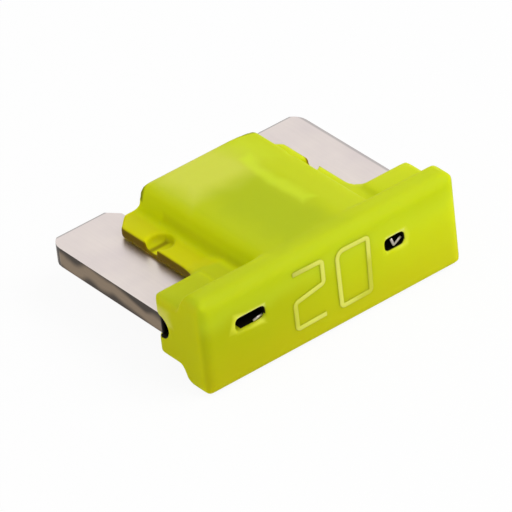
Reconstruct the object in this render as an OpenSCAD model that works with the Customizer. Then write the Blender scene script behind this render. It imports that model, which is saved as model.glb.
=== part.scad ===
// Low profile blade fuse, lying on one broad face.
// X runs along the head, Y from the head's top to the blade tips and Z up.
// The origin lies on the surface under the middle of the fuse.
// Each module is drawn about the fuse's middle plane, with y counted from the head's top.
// Half a turn about the Y axis brings one broad face onto the other.

/* [Overall] */
// Length of the head
overall_l = 11.24; // [11.1:0.02:12.4]
// Thickness of the head
overall_t = 3.81; // [3.6:0.01:4.6]
// Height from the top of the head to the blade tips
overall_h = 8.91; // [8.6:0.01:10.4]

/* [Head] */
// Height of the head's upright sides
head_side = 1; // [0.8:0.01:1.1]
// Height of the taper under the head's overhang
head_taper = 0.3; // [0.1:0.01:0.45]
// Radius along the head's edges
head_round = 0.45; // [0.1:0.01:0.45]
// Thickness of the roof over the blades' upper ends
roof_t = 0.7; // [0.5:0.01:1.05]

/* [Skirt over the blade shoulders] */
// Thickness of the skirt, front to back
skirt_t = 2.45; // [2.2:0.01:2.8]
// Width of each skirt, from the housing's end
skirt_w = 2.01; // [1.8:0.01:2.1]
// Thickness of the webs between the skirts and the central block
web_t = 2.1; // [1.9:0.01:2.15]
// Height from the head's top to the skirt's lower edge
skirt_h = 2.78; // [2.7:0.01:3]
// Radius on the skirt's lower outer corners
skirt_corner = 0.45; // [0.1:0.01:0.6]
// Radius along the skirt's other edges
skirt_round = 0.3; // [0.1:0.01:0.35]
// Radius of the fillet between each web and the flange below it
skirt_fillet = 0.5; // [0.2:0.01:0.7]
// Length of the slope from each web down to the flange's face
web_slope = 0.75; // [0.72:0.01:1.2]
// Radius at the top of that slope
web_round = 0.2; // [0.1:0.01:0.3]

/* [Flanges] */
// Height from the head's top to the flanges' lower edge
flange_h = 7.66; // [7:0.01:7.9]
// Width of each flange's grip on its blade, from the blade's inner edge
flange_clasp = 0.96; // [0.85:0.01:1.1]
// Thickness over both flange walls
flange_t = 1.7; // [1.5:0.01:1.8]
// Size of the chamfer at each flange's lower corner
flange_chamfer = 0.6; // [0.2:0.01:0.8]
// Radius along the flange edges
flange_round = 0.12; // [0.05:0.01:0.2]

/* [Central block] */
// Height from the head's top to the block's lower edge
block_h = 7.56; // [6.8:0.01:7.8]
// Step from the head's broad face down to the block's raised face
block_step = 0.02; // [0.01:0.01:0.1]
// Distance from the middle to the steep side of each raised face
block_steep = 2.2; // [1.9:0.01:2.4]
// Width that each of the block's sides gains on its way down to the flange
block_foot = 0.3; // [0.1:0.01:0.4]
// Distance from the middle to the ridge where each raised face starts to slope
block_ridge = 1.4; // [1:0.01:1.6]
// Distance from the middle to the slope's outer edge
block_slope = 2.75; // [2.4:0.01:2.9]
// Drop from the ridge to the slope's outer edge
block_drop = 0.3; // [0.1:0.01:0.5]
// Radius along the ridge
ridge_round = 1.5; // [0.5:0.1:2.5]
// Radius along the block's other edges
block_round = 0.45; // [0.1:0.01:0.5]

/* [Link chamber] */
// Width of the chamber round the fusible link
chamber_w = 3.4; // [3.2:0.01:3.6]
// Thickness of the chamber
chamber_t = 2.2; // [1.5:0.01:2.3]
// Height from the head's top to the chamber's roof
chamber_top = 2.13; // [1.9:0.01:2.3]
// Radius in the chamber's upper corners
chamber_round = 0.3; // [0.1:0.01:0.5]

/* [Test slots in the head's top] */
// Length of the left slot
left_slot_l = 1.22; // [0.8:0.01:1.6]
// Length of the right slot
right_slot_l = 0.82; // [0.6:0.01:1.4]
// Width of both slots
slot_w = 0.5; // [0.4:0.01:0.7]
// Depth of both slots
slot_depth = 1.5; // [1.2:0.01:1.8]
// Distance of both slots from the middle plane, towards the upper broad face
slot_off = 0.42; // [0.3:0.01:0.5]
// Distance of the left slot from the middle of the head
slot_left = 3.54; // [3.2:0.01:3.8]
// Distance of the right slot from the middle of the head
slot_right = 2.75; // [2.6:0.01:3.4]

/* [Blades] */
// Distance from each end of the housing in to the blade's outer edge
blade_inset = 0.16; // [0:0.01:0.3]
// Width of each blade
blade_w = 2.8; // [2.6:0.01:2.9]
// Thickness of the stamped strip
blade_t = 0.8; // [0.7:0.01:0.85]
// Radius on each tip's outer corner
tip_round = 0.7; // [0.2:0.01:1]
// Width of the chamfer on each tip's inner corner
tip_chamfer_w = 0.5; // [0.2:0.01:0.8]
// Height of the chamfer on each tip's inner corner
tip_chamfer_h = 0.6; // [0.2:0.01:0.8]
// Size of the bevel round the tips' edges
tip_bevel = 0.12; // [0.05:0.01:0.2]
// Width of the shoulder where each blade narrows inside the head
shoulder_w = 0.7; // [0.5:0.01:1]
// Height from the head's top to the shoulders
shoulder_top = 2.43; // [2.2:0.01:2.5]
// Radius on the strip's other outer corners
strip_round = 0.1; // [0.05:0.01:0.2]

/* [Fusible link] */
// Width of the link's strip
link_w = 0.95; // [0.6:0.01:1.1]
// Thickness of the link, thinned from the strip
link_t = 0.35; // [0.2:0.01:0.5]
// Height from the head's top to the middle of the upper arm
link_upper = 3.18; // [3:0.01:3.5]
// Height from the head's top to the middle of the lower arm
link_lower = 5.63; // [5.3:0.01:6]
// Sideways lean of the riser between the arms
link_lean = 0.4; // [0:0.01:0.8]
// Distance of the riser's middle from the middle of the fuse
link_off = 0.15; // [0:0.01:0.4]
// Radius inside the link's two bends
link_inner = 0.2; // [0.05:0.01:0.3]
// Radius outside the link's two bends
link_outer = 0.5; // [0.2:0.01:0.6]

/* [Stakes] */
// Radius of the plastic stake through each blade
stake_r = 0.3; // [0.2:0.01:0.35]
// Distance of the stakes from the blades' inner edges
stake_in = 0.5; // [0.42:0.01:0.54]
// Height from the head's top to the stakes
stake_y = 5.43; // [4.9:0.01:5.9]
// Radius of the dimple that the staking punch leaves in each flange
dimple_r = 0.5; // [0.35:0.01:0.55]
// Depth of the dimples
dimple_d = 0.3; // [0.1:0.01:0.32]

/* [Fits] */
// Clearance between the strip and the housing on each side
strip_gap = 0.03; // [0.01:0.01:0.06]

/* [Hidden] */
$fn = 48;
arc_steps = 6;
past = 1;
half_l = overall_l / 2;
half_span = half_l - blade_inset;
blade_in = half_span - blade_w;
neck_x = half_span - shoulder_w;
flange_x = blade_in + flange_clasp;
stake_x = blade_in + stake_in;
block_t = overall_t - 2 * block_step;
pocket_t = blade_t + 2 * strip_gap;
web_end = skirt_h + web_slope;

function unit(v) = v / norm(v);
function xy(corner) = [corner[0], corner[1]];
function short_turn(angle) = angle - 360 * round(angle / 360);

// Points of the arc of radius r that rounds the corner at p, between its neighbours a and b
function corner_arc(a, p, b, r) =
    let (
        u = unit(a - p),
        v = unit(b - p),
        half = acos(u * v) / 2,
        centre = p + unit(u + v) * r / sin(half),
        start = p + u * r / tan(half) - centre,
        end = p + v * r / tan(half) - centre,
        first = atan2(start[1], start[0]),
        sweep = short_turn(atan2(end[1], end[0]) - first)
    )
    [for (i = [0 : arc_steps])
        centre + r * [cos(first + sweep * i / arc_steps), sin(first + sweep * i / arc_steps)]];

// Outline through corners given as [x, y, radius]
function outline(corners) =
    let (n = len(corners))
    [for (i = [0 : n - 1])
        let (
            a = xy(corners[(i + n - 1) % n]),
            p = xy(corners[i]),
            b = xy(corners[(i + 1) % n]),
            r = corners[i][2]
        )
        each r == 0 ? [p] : corner_arc(a, p, b, r)];

// Corners of the right half, followed by their mirror images on the left
function both_sides(half) =
    concat(half, [for (i = [len(half) - 1 : -1 : 0]) [-half[i][0], half[i][1], half[i][2]]]);

// Corners of one half, followed by the same corners after half a turn
function turned(half) = concat(half, [for (p = half) [-p[0], -p[1], p[2]]]);

// Extrusion of an XY outline to thickness t, about the middle plane
module plate(corners, t) {
    linear_extrude(height = t, center = true) polygon(outline(corners));
}

// Extrusion along X of an outline drawn in Y and Z
module bar(corners, l) {
    rotate([90, 0, 90]) linear_extrude(height = l, center = true) polygon(outline(corners));
}

// Extrusion along Y, from y0 to y1, of an outline drawn in X and Z
module column(corners, y0, y1) {
    translate([0, y1, 0]) rotate([90, 0, 0]) linear_extrude(height = y1 - y0) polygon(outline(corners));
}

// Corners of a rectangle w wide that runs from y0 to y1 in the second direction
function box(w, y0, y1, r) = both_sides([[w / 2, y0, r], [w / 2, y1, r]]);

module head() {
    intersection() {
        plate(box(overall_l, 0, skirt_h, head_round), overall_t);
        bar([
            [0, -overall_t / 2, head_round],
            [0, overall_t / 2, head_round],
            [head_side, overall_t / 2, head_round / 2],
            [head_side + head_taper, skirt_t / 2, 0],
            [head_side + 2 * head_taper, flange_t / 2, 0],
            [head_side + 2 * head_taper, -flange_t / 2, 0],
            [head_side + head_taper, -skirt_t / 2, 0],
            [head_side, -overall_t / 2, head_round / 2]
        ], overall_l);
        column(box(overall_l, -overall_t / 2, overall_t / 2, head_round), 0, skirt_h);
    }
}

// Walls over one blade's shoulder
module skirt() {
    inner = half_l - skirt_w;
    intersection() {
        plate([
            [inner - past, head_side / 2, 0],
            [half_l, head_side / 2, 0],
            [half_l, skirt_h, skirt_corner],
            [inner - past, skirt_h, 0]
        ], skirt_t);
        bar([
            [0, -skirt_t / 2, 0],
            [0, skirt_t / 2, 0],
            [skirt_h, skirt_t / 2, skirt_round],
            [skirt_h, -skirt_t / 2, skirt_round]
        ], overall_l);
        column([
            [half_l, -skirt_t / 2, skirt_round],
            [half_l, skirt_t / 2, skirt_round],
            [inner, skirt_t / 2, skirt_round],
            [inner - skirt_round, flange_t / 2, 0],
            [inner - skirt_round, -flange_t / 2, 0],
            [inner, -skirt_t / 2, skirt_round]
        ], 0, skirt_h);
    }
}

// Webs from the skirts to the central block, filleted to the flanges below
module webs() {
    intersection() {
        plate(both_sides([
            [half_l, head_side / 2, 0],
            [half_l, skirt_h, skirt_corner],
            [flange_x, skirt_h, skirt_fillet],
            [flange_x, web_end, 0]
        ]), web_t);
        bar([
            [head_side / 2, -web_t / 2, 0],
            [head_side / 2, web_t / 2, 0],
            [skirt_h, web_t / 2, web_round],
            [web_end, flange_t / 2, 0],
            [web_end, -flange_t / 2, 0],
            [skirt_h, -web_t / 2, web_round]
        ], overall_l);
        column(box(overall_l, -web_t / 2, web_t / 2, skirt_round), 0, web_end);
    }
}

// Two walls that clasp the inner edges of the blades
module flanges() {
    intersection() {
        plate(both_sides([
            [flange_x, head_side, 0],
            [flange_x, flange_h - flange_chamfer, flange_round],
            [flange_x - flange_chamfer, flange_h, flange_round]
        ]), flange_t);
        column(box(2 * flange_x, -flange_t / 2, flange_t / 2, flange_round), 0, flange_h);
    }
}

// Raised block round the link chamber, steep on one side of each face and sloping on the other
module block() {
    intersection() {
        column(turned([
            [-block_steep - block_foot, flange_t / 2, 0],
            [-block_steep, block_t / 2, block_round],
            [block_ridge, block_t / 2, ridge_round],
            [block_slope, block_t / 2 - block_drop, block_round],
            [block_slope + block_foot, flange_t / 2, 0]
        ]), head_side / 2, block_h);
        bar([
            [0, -block_t / 2, 0],
            [0, block_t / 2, 0],
            [block_h, block_t / 2, block_round],
            [block_h, -block_t / 2, block_round]
        ], overall_l);
    }
}

// Space that the stamped strip slides into from below, open at both ends under an arch
module strip_pocket() {
    arch_top = shoulder_top - pocket_t / 2;
    plate(both_sides([
        [neck_x + strip_gap, roof_t, 0],
        [neck_x + strip_gap, shoulder_top, 0],
        [half_l + past, shoulder_top, 0],
        [half_l + past, flange_h + past, 0]
    ]), pocket_t);
    bar([
        [arch_top, -pocket_t / 2, blade_t / 2],
        [arch_top, pocket_t / 2, blade_t / 2],
        [flange_h, pocket_t / 2, 0],
        [flange_h, -pocket_t / 2, 0]
    ], overall_l + 2 * past);
}

module chamber() {
    intersection() {
        plate(box(chamber_w, chamber_top, flange_h + past, chamber_round), chamber_t);
        column(box(chamber_w, -chamber_t / 2, chamber_t / 2, chamber_round), 0, flange_h + past / 2);
    }
}

module test_slot(x, l) {
    translate([x - l / 2, -past, slot_off - slot_w / 2]) cube([l, slot_depth + past, slot_w]);
}

// One round feature at each stake, from z0 to z1
module at_stakes(r, z0, z1) {
    for (side = [-1, 1]) {
        translate([side * stake_x, stake_y, z0]) cylinder(r = r, h = z1 - z0);
    }
}

module housing() {
    color("#b9cc22") place() {
        difference() {
            union() {
                head();
                skirt();
                mirror([1, 0, 0]) skirt();
                webs();
                flanges();
                block();
            }
            strip_pocket();
            chamber();
            test_slot(-slot_left, left_slot_l);
            test_slot(slot_right, right_slot_l);
            at_stakes(dimple_r, flange_t / 2 - dimple_d, overall_t);
            at_stakes(dimple_r, -overall_t, dimple_d - flange_t / 2);
        }
        at_stakes(stake_r, dimple_d - flange_t / 2, flange_t / 2 - dimple_d);
    }
}

// One flat blade, with its tip bevelled on both faces
module blade() {
    edge = [
        [half_span, shoulder_top, strip_round],
        [half_span, overall_h, tip_round],
        [blade_in + tip_chamfer_w, overall_h, strip_round],
        [blade_in, overall_h - tip_chamfer_h, strip_round],
        [blade_in, roof_t + strip_gap, 0],
        [neck_x, roof_t + strip_gap, 0],
        [neck_x, shoulder_top, 0]
    ];
    difference() {
        intersection() {
            plate(edge, blade_t);
            bar([
                [0, -blade_t / 2, 0],
                [0, blade_t / 2, 0],
                [overall_h - tip_bevel, blade_t / 2, 0],
                [overall_h, blade_t / 2 - tip_bevel, 0],
                [overall_h, tip_bevel - blade_t / 2, 0],
                [overall_h - tip_bevel, -blade_t / 2, 0]
            ], overall_l);
        }
        at_stakes(stake_r + strip_gap, -blade_t, blade_t);
    }
}

// Thin strip in the shape of an S between the blades
module link() {
    half_w = link_w / 2;
    top = link_off + link_lean / 2;
    foot = link_off - link_lean / 2;
    plate([
        [blade_in, link_upper - half_w, 0],
        [blade_in, link_upper + half_w, 0],
        [foot + half_w + link_lean, link_upper + half_w, link_inner],
        [foot + half_w, link_lower + half_w, link_outer],
        [-blade_in, link_lower + half_w, 0],
        [-blade_in, link_lower - half_w, 0],
        [top - half_w - link_lean, link_lower - half_w, link_inner],
        [top - half_w, link_upper - half_w, link_outer]
    ], link_t);
}

module fuse_element() {
    color("#d9d6dd") place() {
        blade();
        mirror([1, 0, 0]) blade();
        link();
    }
}

// Moves a module drawn about the middle plane to its place on the surface
module place() {
    translate([0, -overall_h / 2, overall_t / 2]) children();
}

housing();
fuse_element();
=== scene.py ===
"""Looks of a low profile blade fuse: a translucent lime housing round one tinned strip.

The fuse lies on a broad face. Lengths are written in millimetres, and MM turns them to metres.
"""

import math

import bpy
from mathutils import Matrix, Vector


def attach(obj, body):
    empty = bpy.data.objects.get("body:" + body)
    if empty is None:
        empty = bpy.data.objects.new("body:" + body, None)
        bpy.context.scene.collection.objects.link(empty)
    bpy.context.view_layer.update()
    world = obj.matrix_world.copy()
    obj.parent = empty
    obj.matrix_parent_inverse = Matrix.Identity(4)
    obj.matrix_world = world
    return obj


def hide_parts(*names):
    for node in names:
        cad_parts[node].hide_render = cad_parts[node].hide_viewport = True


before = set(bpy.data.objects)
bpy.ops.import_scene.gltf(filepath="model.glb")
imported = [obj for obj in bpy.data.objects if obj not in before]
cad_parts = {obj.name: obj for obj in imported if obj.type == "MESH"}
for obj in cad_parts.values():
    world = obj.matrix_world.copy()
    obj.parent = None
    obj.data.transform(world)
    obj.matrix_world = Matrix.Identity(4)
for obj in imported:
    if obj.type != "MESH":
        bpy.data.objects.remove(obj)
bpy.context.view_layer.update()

MM = 0.001
# The head's top along Y, and the middle between the two broad faces along Z
HEAD_TOP = -4.455
MIDDLE = 1.905
# A limit past every side of the fuse, for a box that is open that way
FAR = 9
# Sockets of a Mix node that mixes colours: its factor, its two colours and its result
FACTOR, UNDER, OVER, MIXED = 0, 6, 7, 2


def linear(hex_colour):
    """A colour written as sRGB hex, as the linear colour that a socket takes."""
    values = [int(hex_colour[i : i + 2], 16) / 255 for i in (1, 3, 5)]
    return [v / 12.92 if v <= 0.04045 else ((v + 0.055) / 1.055) ** 2.4 for v in values] + [1]


def add(tree, kind, inputs=None, **settings):
    """A new node with its settings, and its inputs set to values or linked from other nodes."""
    node = tree.nodes.new(kind)
    for name, value in settings.items():
        setattr(node, name, value)
    for name, value in (inputs or {}).items():
        if isinstance(value, bpy.types.NodeSocket):
            tree.links.new(value, node.inputs[name])
        else:
            node.inputs[name].default_value = value
    return node


def new_material(name):
    """An empty node material and its tree."""
    material = bpy.data.materials.new(name)
    material.use_nodes = True
    material.node_tree.nodes.clear()
    return material, material.node_tree


def inside_box(tree, place, low, high, soft, strength):
    """strength inside a box, falling smoothly to 0 at a distance of soft outside it."""
    centre = [(a + b) / 2 * MM for a, b in zip(low, high)]
    half = [(b - a) / 2 * MM for a, b in zip(low, high)]
    offset = add(tree, "ShaderNodeVectorMath", {0: place, 1: centre}, operation="SUBTRACT")
    spread = add(tree, "ShaderNodeVectorMath", {0: offset.outputs[0]}, operation="ABSOLUTE")
    beyond = add(
        tree, "ShaderNodeVectorMath", {0: spread.outputs[0], 1: half}, operation="SUBTRACT"
    )
    sides = add(tree, "ShaderNodeSeparateXYZ", {0: beyond.outputs[0]})
    larger = add(
        tree, "ShaderNodeMath", {0: sides.outputs[0], 1: sides.outputs[1]}, operation="MAXIMUM"
    )
    largest = add(
        tree, "ShaderNodeMath", {0: larger.outputs[0], 1: sides.outputs[2]}, operation="MAXIMUM"
    )
    mask = add(
        tree,
        "ShaderNodeMapRange",
        {
            "Value": largest.outputs[0],
            "From Min": 0,
            "From Max": soft * MM,
            "To Min": strength,
            "To Max": 0,
        },
        interpolation_type="SMOOTHSTEP",
    )
    return mask.outputs[0]


def folded(tree, place):
    """Object coordinates folded about two planes, so that one box stands for four.

    X and Z become the distances from the fuse's two middle planes. Y comes out as it went in,
    because it is folded past the blades' tips.
    """
    past_tips = 10
    crease = (0, past_tips * MM, MIDDLE * MM)
    centred = add(tree, "ShaderNodeVectorMath", {0: place, 1: crease}, operation="SUBTRACT")
    turned = add(tree, "ShaderNodeVectorMath", {0: centred.outputs[0]}, operation="ABSOLUTE")
    flipped = add(
        tree, "ShaderNodeVectorMath", {0: turned.outputs[0], 1: (1, -1, 1)}, operation="MULTIPLY"
    )
    moved_back = add(
        tree,
        "ShaderNodeVectorMath",
        {0: flipped.outputs[0], 1: (0, past_tips * MM, 0)},
        operation="ADD",
    )
    return moved_back.outputs[0]


def wandering(tree, place):
    """Object coordinates pushed about by noise, so that a box gets an uneven border."""
    wave_size, reach = 1.4, 0.9
    noise = add(
        tree,
        "ShaderNodeTexNoise",
        {"Vector": place, "Scale": 1 / (wave_size * MM), "Detail": 1},
    )
    # noise runs from 0 to 1 on each axis, and its middle moves nothing
    centred = add(
        tree,
        "ShaderNodeVectorMath",
        {0: noise.outputs["Color"], 1: (0.5, 0.5, 0.5)},
        operation="SUBTRACT",
    )
    push = add(
        tree,
        "ShaderNodeVectorMath",
        {0: centred.outputs[0], "Scale": reach * MM},
        operation="SCALE",
    )
    moved = add(tree, "ShaderNodeVectorMath", {0: place, 1: push.outputs[0]}, operation="ADD")
    return moved.outputs[0]


def layered(tree, place, tint, layers):
    """A tint with soft boxes of other tints laid over it, one after the other."""
    makers = {"folded": folded, "wandering": wandering}
    places = {"exact": place}
    for kind, low, high, soft, strength, colour in layers:
        if kind not in places:
            places[kind] = makers[kind](tree, place)
        mask = inside_box(tree, places[kind], low, high, soft, strength)
        tint = add(
            tree,
            "ShaderNodeMix",
            {FACTOR: mask, UNDER: tint, OVER: linear(colour)},
            data_type="RGBA",
        ).outputs[MIXED]
    return tint


def cloudy(tree, place, size, one_colour, other_colour):
    """A tint that drifts between two colours, in soft clouds about as large as size."""
    cloud = add(
        tree, "ShaderNodeTexNoise", {"Vector": place, "Scale": 1 / (size * MM), "Detail": 2}
    )
    mixed = add(
        tree,
        "ShaderNodeMix",
        {
            FACTOR: cloud.outputs["Fac"],
            UNDER: linear(one_colour),
            OVER: linear(other_colour),
        },
        data_type="RGBA",
    )
    return mixed.outputs[MIXED]


# Each layer: whether its box is exact, folded to all four quarters or has a wandering border,
# the box's low and high corners, how soft its border is, its strength and its tint.
HOUSING_LAYERS = (
    # right end, which catches more light through the wall
    ("wandering", (6, -FAR, -FAR), (FAR, FAR, FAR), 11, 0.9, "#D4E01E"),
    # lower part of the head, painted deeper and darker: painted shade where the head turns down
    # from the light
    ("wandering", (-FAR, -FAR, -FAR), (FAR, -3.2, 0.2), 2.4, 0.5, "#C4B816"),
    # upper part of the head's top, which faces the light
    ("wandering", (-FAR, -FAR, 3.1), (FAR, -4.2, 3.6), 0.9, 0.4, "#CCE034"),
    # upper broad face
    ("wandering", (-FAR, -FAR, 3.7), (FAR, FAR, FAR), 1.2, 0.6, "#BECC08"),
    # ends of the head, where light passes along the wall
    ("folded", (5.58, -4.15, -FAR), (FAR, -1, FAR), 0.18, 0.8, "#CED01A"),
    # left flange, painted lighter and yellower: painted light that the metal behind its thin wall
    # sends back through it
    ("wandering", (-FAR, -1.5, 1.0), (-2.5, FAR, 2.9), 0.3, 0.8, "#D2CE00"),
    # window over the link chamber: painted shade of the hollow chamber and the link, seen through
    # the wall
    ("wandering", (-0.7, -3.0, 3.3), (0.4, 0.2, FAR), 1.2, 0.75, "#AEBE12"),
    # the chamber's open end, which lets light in
    ("wandering", (-1.2, 1.4, 3.3), (0.4, 3.0, FAR), 1.3, 0.7, "#D8DC56"),
    # painted highlight along the ridge of the block, broader towards the open end
    ("wandering", (1.05, -1.8, 3.3), (1.1, 1.4, FAR), 0.38, 0.65, "#D4E630"),
    ("wandering", (1.4, 1.5, 3.3), (1.7, 2.4, FAR), 0.8, 0.3, "#D0E22E"),
    # steep side of the block, painted lighter as painted light over its shade, and a painted line
    # of shade along it
    ("exact", (-2.5, -3.4, 2.8), (-2.3, FAR, 3.5), 0.4, 0.8, "#DEE800"),
    ("exact", (-2.47, -2.6, 3.0), (-2.42, 1.6, 3.06), 0.24, 0.24, "#A8A600"),
    # painted shade along the far edge of the block, where light leaves the wall
    ("exact", (-3, 3.0, 3.2), (3, FAR, FAR), 0.16, 0.85, "#66700E"),
    # painted shade along the lower and right borders of the head's top, where light turns back
    # inside the edge
    ("exact", (-FAR, -FAR, -FAR), (FAR, -4.3, 0.1), 0.09, 0.6, "#7E8412"),
    ("exact", (5.5, -FAR, -FAR), (FAR, -4.3, FAR), 0.09, 0.6, "#7E8412"),
    # painted shade on the flange walls that stand on the blades, and a thin dark line across the
    # near side of the stakes' hollows
    ("folded", (3.55, -1.6, 0.3), (3.8, FAR, 0.79), 0.05, 1, "#6C5800"),
    ("folded", (2.85, 1.08, 0.5), (3.7, 1.12, FAR), 0.15, 0.7, "#6A5A00"),
    # painted light on the thin wall above the left pocket's open end, where light passes through
    # it
    ("wandering", (-FAR, -2.6, 2.35), (-5.3, -1.5, 2.5), 0.35, 0.7, "#E2E070"),
    # painted shade in the gaps between the pockets' ends and the blades' shoulders
    ("folded", (4.4, -2.6, -FAR), (5.58, -1.9, 0.46), 0.02, 1, "#161004"),
)
SLOT_PAINTED_LIGHT_AND_SHADE = (
    # painted highlights on the rims of the two test slots, palest above
    ("wandering", (-4.15, -FAR, 2.075), (-2.93, -4.405, 2.575), 0.18, 0.55, "#E8EC50"),
    ("wandering", (2.34, -FAR, 2.075), (3.16, -4.405, 2.575), 0.18, 0.55, "#E8EC50"),
    ("exact", (-4.05, -FAR, 2.56), (-2.98, -4.405, 2.61), 0.13, 0.7, "#F4F88A"),
    ("exact", (2.44, -FAR, 2.56), (3.11, -4.405, 2.61), 0.13, 0.7, "#F4F88A"),
    # painted shade in their insides, kept back from the rim of the lower wall, which still catches
    # light
    ("exact", (-4.2, -4.385, 2.24), (-2.88, -2.7, 2.63), 0.04, 1, "#0E0A04"),
    ("exact", (-3.9, -4.3, 2.02), (-2.88, -2.7, 2.24), 0.04, 1, "#0E0A04"),
    ("exact", (2.29, -4.385, 2.24), (3.21, -2.7, 2.63), 0.04, 1, "#0E0A04"),
    ("exact", (2.29, -4.36, 2.06), (3.21, -2.7, 2.24), 0.04, 1, "#0E0A04"),
)
STRIP_LAYERS = (
    # outer edge of the right blade and both tips, greyer than the faces
    ("exact", (5.4, -FAR, 2.2), (FAR, FAR, FAR), 0.08, 0.5, "#8C8A8A"),
    ("folded", (2.4, 4.34, -FAR), (FAR, FAR, FAR), 0.1, 0.75, "#7E8080"),
    # dull burred edges that show in the test slots, and painted shade on the strip's upper ends
    # behind them, deep inside the housing
    ("folded", (-FAR, -FAR, -FAR), (FAR, -4.28, FAR), 0.005, 0.6, "#8A846E"),
    ("folded", (-FAR, -4.27, -FAR), (FAR, -1.9, FAR), 0.01, 1, "#14100A"),
)
SHEARED_EDGE_LAYERS = (
    # torn band along the middle of the edge, and the dark streak near the left tip
    ("wandering", (-FAR, -FAR, 1.78), (FAR, FAR, 1.94), 0.25, 0.95, "#86745F"),
    ("exact", (-FAR, 3.85, -FAR), (-5.2, 4.0, 2.24), 0.05, 0.85, "#2E261E"),
)
DIGIT_PAINTED_LIGHT_AND_SHADE = (
    # painted highlight on the crest of the bead
    ("exact", (-FAR, -FAR, -FAR), (FAR, HEAD_TOP - 0.017, FAR), 0.012, 1, "#DEE05E"),
    # painted shade on the strokes that face away from the light
    ("wandering", (1.35, -FAR, 0.9), (1.9, FAR, 2.0), 0.6, 0.75, "#C4C622"),
    ("wandering", (-1.9, -FAR, 1.1), (-1.5, FAR, 1.7), 0.35, 0.6, "#C4C622"),
)


def lime_polyamide():
    """Polyamide moulded in a satin tool and lime all through.

    Light scatters in its walls, so that edges look soft and thick places look deeper; much of its
    light and shade is also painted into its tint.
    """
    cloud_size, scatter_depth = 2.5, 0.45
    # satin grain of the tool, coarser than real so that it shows
    grain_size, grain_depth = 0.12, 0.004
    material, tree = new_material("lime_polyamide_moulded")
    place = add(tree, "ShaderNodeTexCoord").outputs["Object"]
    tint = cloudy(tree, place, cloud_size, "#B8BE12", "#B0B90E")
    tint = layered(tree, place, tint, HOUSING_LAYERS + SLOT_PAINTED_LIGHT_AND_SHADE)
    grain = add(
        tree,
        "ShaderNodeTexNoise",
        {"Vector": place, "Scale": 1 / (grain_size * MM), "Detail": 1},
    )
    bump = add(
        tree,
        "ShaderNodeBump",
        {"Height": grain.outputs["Fac"], "Strength": 0.15, "Distance": grain_depth * MM},
    )
    surface = add(
        tree,
        "ShaderNodeBsdfPrincipled",
        {
            "Base Color": tint,
            "Roughness": 0.6,
            "IOR": 1.53,
            "Subsurface Weight": 1.0,
            "Subsurface Radius": (1.0, 0.85, 0.2),
            "Subsurface Scale": scatter_depth * MM,
            "Specular IOR Level": 0.08,
            "Normal": bump.outputs["Normal"],
        },
    )
    add(tree, "ShaderNodeOutputMaterial", {"Surface": surface.outputs["BSDF"]})
    return material


def tinned_zinc():
    """Rolled and stamped zinc strip with a satin coat of tin.

    Its faces are pale with faint rolling lines, and its sheared edges are dull and brown.
    """
    cloud_size = 1.6
    # rolling lines, coarser than real so that they show
    line_gap, line_length, line_depth, line_contrast = 0.1, 2, 0.003, 0.015
    material, tree = new_material("tinned_zinc_stamped")
    place = add(tree, "ShaderNodeTexCoord").outputs["Object"]
    across, along = 1 / (line_gap * MM), 1 / (line_length * MM)
    stretched = add(
        tree, "ShaderNodeMapping", {"Vector": place, "Scale": (across, along, across)}
    )
    lines = add(
        tree, "ShaderNodeTexNoise", {"Vector": stretched.outputs[0], "Scale": 1, "Detail": 3}
    )
    faces = cloudy(tree, place, cloud_size, "#E8DED6", "#D3C8C9")
    # the sheared edges are dark brown with a paler torn band along the middle; their dark borders
    # are partly painted shade where the edge rolls over
    edges = layered(tree, place, linear("#3A3026"), SHEARED_EDGE_LAYERS)
    # the sheared edges lie between the two tinned faces, which are 0.4 from the middle plane
    between = inside_box(
        tree, folded(tree, place), (-FAR, -4.2, -FAR), (FAR, FAR, 0.385), 0.012, 1
    )
    tint = add(
        tree, "ShaderNodeMix", {FACTOR: between, UNDER: faces, OVER: edges}, data_type="RGBA"
    ).outputs[MIXED]
    tint = layered(tree, place, tint, STRIP_LAYERS)
    # nearly all of the noise lies between 0.3 and 0.7
    shade = add(
        tree,
        "ShaderNodeMapRange",
        {
            "Value": lines.outputs["Fac"],
            "From Min": 0.3,
            "From Max": 0.7,
            "To Min": 1 - line_contrast,
            "To Max": 1 + line_contrast,
        },
    )
    tint = add(
        tree, "ShaderNodeVectorMath", {0: tint, "Scale": shade.outputs[0]}, operation="SCALE"
    ).outputs[0]
    bump = add(
        tree,
        "ShaderNodeBump",
        {"Height": lines.outputs["Fac"], "Strength": 0.1, "Distance": line_depth * MM},
    )
    surface = add(
        tree,
        "ShaderNodeBsdfPrincipled",
        {
            "Base Color": tint,
            "Metallic": 1.0,
            "Roughness": 0.38,
            "Normal": bump.outputs["Normal"],
        },
    )
    add(tree, "ShaderNodeOutputMaterial", {"Surface": surface.outputs["BSDF"]})
    return material


def digit_lime_painted_light():
    """Lime polyamide of the raised digits.

    Its tint is painted paler than the head round them, as painted light where the raised strokes
    catch it.
    """
    cloud_size, scatter_depth = 0.5, 0.05
    material, tree = new_material("lime_polyamide_digits_painted_light")
    place = add(tree, "ShaderNodeTexCoord").outputs["Object"]
    tint = cloudy(tree, place, cloud_size, "#CACC2C", "#C2C61C")
    tint = layered(tree, place, tint, DIGIT_PAINTED_LIGHT_AND_SHADE)
    surface = add(
        tree,
        "ShaderNodeBsdfPrincipled",
        {
            "Base Color": tint,
            "Roughness": 0.6,
            "IOR": 1.53,
            "Subsurface Weight": 0.6,
            "Subsurface Radius": (1.0, 0.9, 0.4),
            "Subsurface Scale": scatter_depth * MM,
            "Specular IOR Level": 0.25,
        },
    )
    add(tree, "ShaderNodeOutputMaterial", {"Surface": surface.outputs["BSDF"]})
    return material


def dress(piece, material):
    """Gives a piece one material."""
    piece.data.materials.clear()
    piece.data.materials.append(material)


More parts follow.
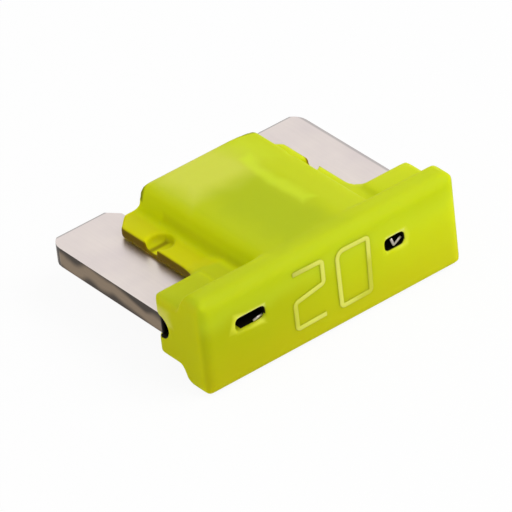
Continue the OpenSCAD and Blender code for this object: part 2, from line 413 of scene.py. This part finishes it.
def bead(name, corners, at_y, width, height, corner_round):
    """A rounded bead along corners given in X and Z, standing height out to both sides of at_y."""
    start_size, corner_steps, girth_steps = 0.1, 4, 3
    same_corner, same_point = 0.01, 0.0005
    bpy.ops.object.select_all(action="DESELECT")
    # a small plane merged to one point, drawn out from corner to corner
    x, z = corners[0]
    start = (x * MM, at_y * MM, z * MM)
    bpy.ops.mesh.primitive_plane_add(size=start_size * MM, location=start)
    piece = bpy.context.active_object
    piece.name = name
    bpy.ops.object.mode_set(mode="EDIT")
    bpy.ops.mesh.merge(type="CENTER")
    bpy.ops.mesh.select_mode(type="VERT")
    for (x0, z0), (x1, z1) in zip(corners, corners[1:]):
        step = ((x1 - x0) * MM, 0, (z1 - z0) * MM)
        bpy.ops.mesh.extrude_region_move(TRANSFORM_OT_translate={"value": step})
    bpy.ops.mesh.select_all(action="SELECT")
    bpy.ops.mesh.remove_doubles(threshold=same_corner * MM)
    bpy.ops.mesh.bevel(offset=corner_round * MM, segments=corner_steps, affect="VERTICES")
    bpy.ops.object.mode_set(mode="OBJECT")
    # the line becomes a round bead
    bpy.ops.object.convert(target="CURVE")
    piece = bpy.context.active_object
    piece.data.bevel_depth = width / 2 * MM
    piece.data.bevel_resolution = girth_steps
    piece.data.use_fill_caps = True
    bpy.ops.object.convert(target="MESH")
    piece = bpy.context.active_object
    bpy.ops.object.transform_apply(location=True, rotation=True, scale=True)
    # and the bead is flattened
    bpy.ops.object.mode_set(mode="EDIT")
    bpy.ops.mesh.select_all(action="SELECT")
    flatten = height / (width / 2)
    bpy.ops.transform.resize(value=(1, flatten, 1), center_override=(0, at_y * MM, 0))
    bpy.ops.mesh.remove_doubles(threshold=same_point * MM)
    bpy.ops.mesh.normals_make_consistent(inside=False)
    bpy.ops.object.mode_set(mode="OBJECT")
    bpy.ops.object.shade_smooth()
    return piece


def moulded_housing(source):
    """The housing as it comes out of the mould: a copy of the solid with all its edges eased."""
    same_point, voxel, smoothing, rounds = 0.0001, 0.07, 0.5, 9
    piece = bpy.data.objects.new("housing_moulded", source.data.copy())
    bpy.context.scene.collection.objects.link(piece)
    bpy.ops.object.select_all(action="DESELECT")
    bpy.context.view_layer.objects.active = piece
    piece.select_set(True)
    bpy.ops.object.mode_set(mode="EDIT")
    bpy.ops.mesh.select_all(action="SELECT")
    bpy.ops.mesh.remove_doubles(threshold=same_point * MM)
    bpy.ops.object.mode_set(mode="OBJECT")
    even = piece.modifiers.new("even", "REMESH")
    even.mode = "VOXEL"
    even.voxel_size = voxel * MM
    ease = piece.modifiers.new("ease", "SMOOTH")
    ease.factor = smoothing
    ease.iterations = rounds
    for name in ("even", "ease"):
        bpy.ops.object.modifier_apply(modifier=name)
    bpy.ops.object.shade_smooth()
    return piece


def seen(tree):
    """1 in what the camera sees directly, by reflection or through glass, and 0 in other light."""
    rays = add(tree, "ShaderNodeLightPath")
    kinds = [rays.outputs[f"Is {kind} Ray"] for kind in ("Camera", "Glossy", "Transmission")]
    two_kinds = add(tree, "ShaderNodeMath", {0: kinds[0], 1: kinds[1]}, operation="MAXIMUM")
    all_kinds = add(
        tree, "ShaderNodeMath", {0: two_kinds.outputs[0], 1: kinds[2]}, operation="MAXIMUM"
    )
    return all_kinds.outputs[0]


def make_floor():
    """A pale floor that renders white and keeps the fuse's shadow."""
    side, glow_share = 2000, 0.93
    bpy.ops.mesh.primitive_plane_add(size=side * MM)
    floor = bpy.context.active_object
    floor.name = "floor"
    material, tree = new_material("floor_white")
    share = add(tree, "ShaderNodeMath", {0: seen(tree), 1: glow_share}, operation="MULTIPLY")
    paper = add(tree, "ShaderNodeBsdfDiffuse", {"Color": linear("#F4F4F4")})
    glow = add(tree, "ShaderNodeEmission", {"Color": linear("#FFFFFF"), "Strength": 1.0})
    mixed = add(
        tree,
        "ShaderNodeMixShader",
        {0: share.outputs[0], 1: paper.outputs[0], 2: glow.outputs[0]},
    )
    add(tree, "ShaderNodeOutputMaterial", {"Surface": mixed.outputs[0]})
    floor.data.materials.append(material)


def make_world():
    """A white studio that lights the fuse evenly and at a plain level."""
    light_level, seen_level = 0.6, 1.0
    world = bpy.data.worlds.new("studio")
    world.use_nodes = True
    tree = world.node_tree
    tree.nodes.clear()
    level = add(
        tree,
        "ShaderNodeMapRange",
        {"Value": seen(tree), "To Min": light_level, "To Max": seen_level},
    )
    sky = add(
        tree, "ShaderNodeBackground", {"Color": linear("#FFFFFF"), "Strength": level.outputs[0]}
    )
    add(tree, "ShaderNodeOutputWorld", {"Surface": sky.outputs[0]})
    bpy.context.scene.world = world


def direction(azimuth, elevation):
    """Unit vector from the fuse towards a place at that azimuth and elevation, in degrees."""
    a, e = math.radians(azimuth), math.radians(elevation)
    return Vector((math.sin(a) * math.cos(e), -math.cos(a) * math.cos(e), math.sin(e)))


def add_lamp(name, azimuth, elevation, distance, size, watts):
    """A square area lamp that faces the fuse."""
    lamp = bpy.data.lights.new(name, "AREA")
    lamp.shape = "SQUARE"
    lamp.size = size * MM
    lamp.energy = watts
    holder = bpy.data.objects.new(name, lamp)
    back = direction(azimuth, elevation)
    holder.location = back * distance * MM
    holder.rotation_mode = "QUATERNION"
    holder.rotation_quaternion = (-back).to_track_quat("-Z", "Y")
    bpy.context.scene.collection.objects.link(holder)


def make_camera():
    """The photograph's view of the fuse, enlarged so that the fuse fills more of the picture."""
    azimuth, elevation, roll = -34.7, 34.1, -6.7
    distance = 228
    aim = Vector((0, 0.09, MIDDLE))
    right_move, up_move = 0.18, -0.77
    photo_focal_length, photo_width = 5108, 512  # in pixels
    enlarge = 1.3
    sensor_width = 36
    nearest, farthest = 1, 5000
    back = direction(azimuth, elevation)
    level = (-back).to_track_quat("-Z", "Y")
    turn = level @ Matrix.Rotation(math.radians(roll), 3, "Z").to_quaternion()
    right = turn @ Vector((1, 0, 0))
    up = turn @ Vector((0, 1, 0))
    camera = bpy.data.cameras.new("camera")
    camera.lens = photo_focal_length / photo_width * sensor_width * enlarge
    camera.sensor_width = sensor_width
    camera.clip_start = nearest * MM
    camera.clip_end = farthest * MM
    holder = bpy.data.objects.new("camera", camera)
    holder.location = (aim + back * distance + right * right_move + up * up_move) * MM
    holder.rotation_mode = "QUATERNION"
    holder.rotation_quaternion = turn
    bpy.context.scene.collection.objects.link(holder)
    bpy.context.scene.camera = holder


# View, floor and light
bpy.context.scene.view_settings.view_transform = "Standard"
make_camera()
make_floor()
make_world()
add_lamp("key_lamp", azimuth=35, elevation=50, distance=300, size=200, watts=0.5)

# Housing and strip
plastic, metal, digit_plastic = lime_polyamide(), tinned_zinc(), digit_lime_painted_light()
housing = moulded_housing(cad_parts["housing"])
dress(housing, plastic)
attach(housing, "root")
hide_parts("housing")
dress(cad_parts["fuse_element"], metal)

# Plain rating number, raised on the head's top
digits = {
    "digit_two": [
        (-1.66, 3.16),
        (-0.4, 3.13),
        (-0.4, 2.24),
        (-1.67, 2.0),
        (-1.67, 0.95),
        (-0.42, 0.98),
    ],
    "digit_zero": [
        (0.25, 2.94),
        (0.42, 3.12),
        (1.6, 3.1),
        (1.54, 0.94),
        (0.26, 0.92),
        (0.25, 2.94),
    ],
}
for name, corners in digits.items():
    piece = bead(name, corners, at_y=HEAD_TOP, width=0.2, height=0.022, corner_round=0.12)
    dress(piece, digit_plastic)
    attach(piece, "root")

# Burred edges of the strip's upper ends, seen in the two test slots
burrs = {
    "test_edge_left": [(-3.38, 2.13), (-2.99, 2.2)],
    "test_edge_right": [(2.66, 2.45), (2.76, 2.15), (3.1, 2.34)],
}
for name, corners in burrs.items():
    piece = bead(name, corners, at_y=-4.33, width=0.11, height=0.035, corner_round=0.02)
    dress(piece, metal)
    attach(piece, "root")
